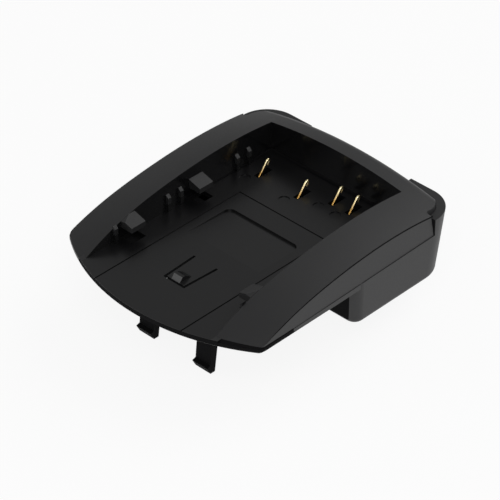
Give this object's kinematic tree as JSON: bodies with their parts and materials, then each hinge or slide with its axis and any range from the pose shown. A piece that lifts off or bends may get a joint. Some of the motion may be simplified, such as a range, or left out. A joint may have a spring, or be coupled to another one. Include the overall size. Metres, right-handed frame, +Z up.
{
  "type": "camera battery charger plate",
  "caption": "Black moulded camera battery charging plate with an open battery bay, sprung gold contacts, a latch tongue and snap legs that clip to a charger base.",
  "frame": {"origin": "middle of the outline, on the plane of the snap legs' tips", "axes": "+Z up out of the battery bay, -Y towards the open front lip, +Y towards the contacts"},
  "size_m": [0.0688, 0.0838, 0.033],
  "materials": {
    "moulded_abs": "fine moulded texture outside, polished in the bay",
    "gold_plated_wire": "bright gold plating",
    "nickel_terminal": "nickel plated",
    "zinc_screw": "zinc plated",
    "board_laminate": "green solder resist",
    "fuse_body": "moulded",
    "chip_body": "moulded",
    "capacitor_can": "drawn can"
  },
  "bodies": {
    "root": {"top_housing": "moulded_abs", "bottom_housing": "moulded_abs", "battery_contact_1": "gold_plated_wire", "battery_contact_2": "gold_plated_wire", "battery_contact_3": "gold_plated_wire", "battery_contact_4": "gold_plated_wire", "base_terminal_1": "nickel_terminal", "base_terminal_2": "nickel_terminal", "base_terminal_3": "nickel_terminal", "base_terminal_4": "nickel_terminal", "board_screws": "zinc_screw", "housing_screws": "zinc_screw", "circuit_board": "board_laminate", "resettable_fuse": "fuse_body", "blocking_diode": "chip_body", "filter_capacitor": "capacitor_can", "sense_resistor_1": "chip_body", "sense_resistor_2": "chip_body"}
  },
  "joints": []
}
